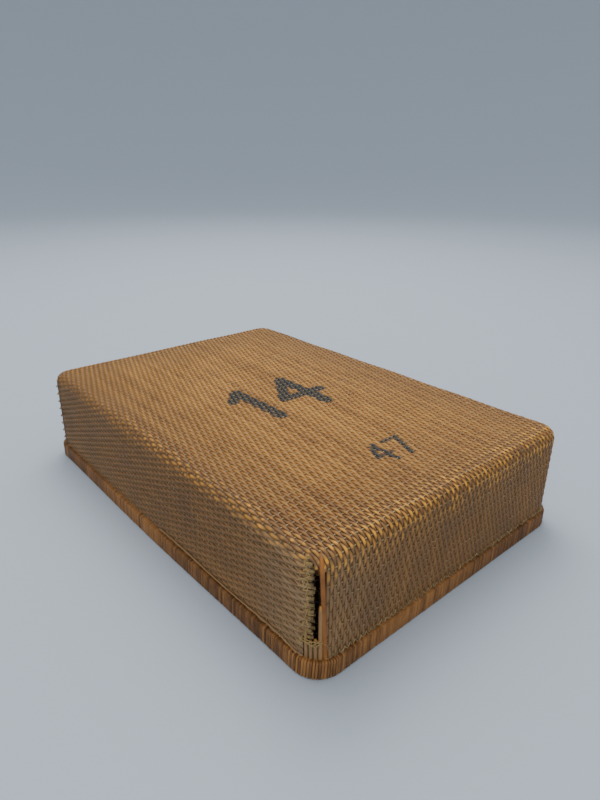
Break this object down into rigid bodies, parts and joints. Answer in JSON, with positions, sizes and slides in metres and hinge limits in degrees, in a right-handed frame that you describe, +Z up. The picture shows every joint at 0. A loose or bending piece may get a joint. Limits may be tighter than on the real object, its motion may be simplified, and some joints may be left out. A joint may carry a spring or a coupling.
{
  "type": "woven willow storage box",
  "caption": "Flat rectangular box of woven willow in two trays: the deeper lid slides down over the whole base, and each tray has laced corners and a bound rim.",
  "frame": {"origin": "on the surface the box stands on, under the middle of the closed box", "axes": "+X along the long sides, towards the right end; +Y towards the back; +Z up, the way the lid lifts off"},
  "size_m": [0.4556, 0.3116, 0.1],
  "materials": {
    "lid_willow": "aged willow rods",
    "base_willow": "cleaner willow rods",
    "bamboo_strip": "split bamboo",
    "cane_binding": "wound split cane",
    "hemp": "twisted hemp"
  },
  "bodies": {
    "base": {"base_floor_and_ends": "base_willow", "base_front_side": "base_willow", "base_back_side": "base_willow", "base_rim_outer_strip": "bamboo_strip", "base_rim_inner_strip": "bamboo_strip", "base_rim_binding": "cane_binding", "base_hem_thread_left": "hemp", "base_hem_thread_right": "hemp", "base_lacing_front_left": "hemp", "base_lacing_front_right": "hemp", "base_lacing_back_left": "hemp", "base_lacing_back_right": "hemp"},
    "lid": {"lid_top_and_ends": "lid_willow", "lid_front_side": "lid_willow", "lid_back_side": "lid_willow", "lid_rim_outer_strip": "bamboo_strip", "lid_rim_inner_strip": "bamboo_strip", "lid_rim_binding": "cane_binding", "lid_hem_thread_left": "hemp", "lid_hem_thread_right": "hemp", "lid_lacing_front_left": "hemp", "lid_lacing_back_left": "hemp", "lid_lacing_back_right": "hemp", "lid_broken_rods": "lid_willow"}
  },
  "joints": [
    {"name": "lid_lift", "type": "slide", "parent": "base", "child": "lid", "axis": [0, 0, 1], "range_m": [0, 0.12]}
  ]
}
